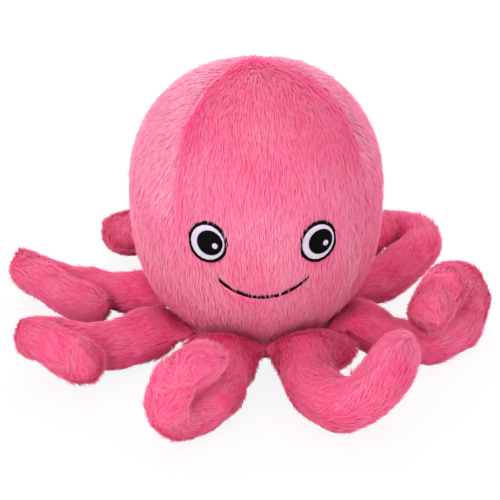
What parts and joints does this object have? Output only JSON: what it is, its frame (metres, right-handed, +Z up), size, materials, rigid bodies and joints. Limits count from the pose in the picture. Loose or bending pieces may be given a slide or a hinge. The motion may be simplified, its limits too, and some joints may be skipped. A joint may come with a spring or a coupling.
{
  "type": "plush octopus",
  "caption": "Soft plush octopus with a round stuffed head, embroidered face and eight curled stuffed arms sewn into one seam.",
  "frame": {"origin": "middle of the base panel's flat underside, on the surface that the toy sits on", "axes": "+Z up through the crown of the head, the face looks along -Y, +X is the right-hand side as seen from the front"},
  "size_m": [0.2785, 0.268, 0.1633],
  "materials": {
    "plush": "long soft pile, brushed",
    "plush_underside": "long soft pile, brushed",
    "black_thread": "satin stitch embroidery",
    "white_thread": "satin stitch embroidery",
    "stuffing": "loose polyester fibre"
  },
  "bodies": {
    "body": {"face_panel": "plush", "right_panel": "plush", "back_panel": "plush", "left_panel": "plush", "base_panel": "plush_underside", "head_stuffing": "stuffing", "left_eye_outline": "black_thread", "left_eye_white": "white_thread", "left_eye_pupil": "black_thread", "left_eye_highlight": "white_thread", "right_eye_outline": "black_thread", "right_eye_white": "white_thread", "right_eye_pupil": "black_thread", "right_eye_highlight": "white_thread", "mouth_stitching": "black_thread"},
    "front_right_arm": {"front_right_arm_top": "plush", "front_right_arm_underside": "plush_underside", "front_right_arm_stuffing": "stuffing"},
    "right_front_arm": {"right_front_arm_top": "plush", "right_front_arm_underside": "plush_underside", "right_front_arm_stuffing": "stuffing"},
    "right_rear_arm": {"right_rear_arm_top": "plush", "right_rear_arm_underside": "plush_underside", "right_rear_arm_stuffing": "stuffing"},
    "rear_right_arm": {"rear_right_arm_top": "plush", "rear_right_arm_underside": "plush_underside", "rear_right_arm_stuffing": "stuffing"},
    "rear_left_arm": {"rear_left_arm_top": "plush", "rear_left_arm_underside": "plush_underside", "rear_left_arm_stuffing": "stuffing"},
    "left_rear_arm": {"left_rear_arm_top": "plush", "left_rear_arm_underside": "plush_underside", "left_rear_arm_stuffing": "stuffing"},
    "left_front_arm": {"left_front_arm_top": "plush", "left_front_arm_underside": "plush_underside", "left_front_arm_stuffing": "stuffing"},
    "front_left_arm": {"front_left_arm_top": "plush", "front_left_arm_underside": "plush_underside", "front_left_arm_stuffing": "stuffing"}
  },
  "joints": [
    {"name": "front_right_arm_lift", "type": "hinge", "parent": "body", "child": "front_right_arm", "pos_m": [0.01799, -0.04342, 0.017], "axis": [-0.9239, -0.3827, 0], "range_deg": [-45, 16]},
    {"name": "right_front_arm_lift", "type": "hinge", "parent": "body", "child": "right_front_arm", "pos_m": [0.04342, -0.01799, 0.017], "axis": [-0.3827, -0.9239, 0], "range_deg": [-45, 16]},
    {"name": "right_rear_arm_lift", "type": "hinge", "parent": "body", "child": "right_rear_arm", "pos_m": [0.04342, 0.01799, 0.017], "axis": [0.3827, -0.9239, 0], "range_deg": [-45, 16]},
    {"name": "rear_right_arm_lift", "type": "hinge", "parent": "body", "child": "rear_right_arm", "pos_m": [0.01799, 0.04342, 0.017], "axis": [0.9239, -0.3827, 0], "range_deg": [-45, 16]},
    {"name": "rear_left_arm_lift", "type": "hinge", "parent": "body", "child": "rear_left_arm", "pos_m": [-0.01799, 0.04342, 0.017], "axis": [0.9239, 0.3827, 0], "range_deg": [-45, 16]},
    {"name": "left_rear_arm_lift", "type": "hinge", "parent": "body", "child": "left_rear_arm", "pos_m": [-0.04342, 0.01799, 0.017], "axis": [0.3827, 0.9239, 0], "range_deg": [-45, 16]},
    {"name": "left_front_arm_lift", "type": "hinge", "parent": "body", "child": "left_front_arm", "pos_m": [-0.04342, -0.01799, 0.017], "axis": [-0.3827, 0.9239, 0], "range_deg": [-45, 16]},
    {"name": "front_left_arm_lift", "type": "hinge", "parent": "body", "child": "front_left_arm", "pos_m": [-0.01799, -0.04342, 0.017], "axis": [-0.9239, 0.3827, 0], "range_deg": [-45, 16]}
  ]
}
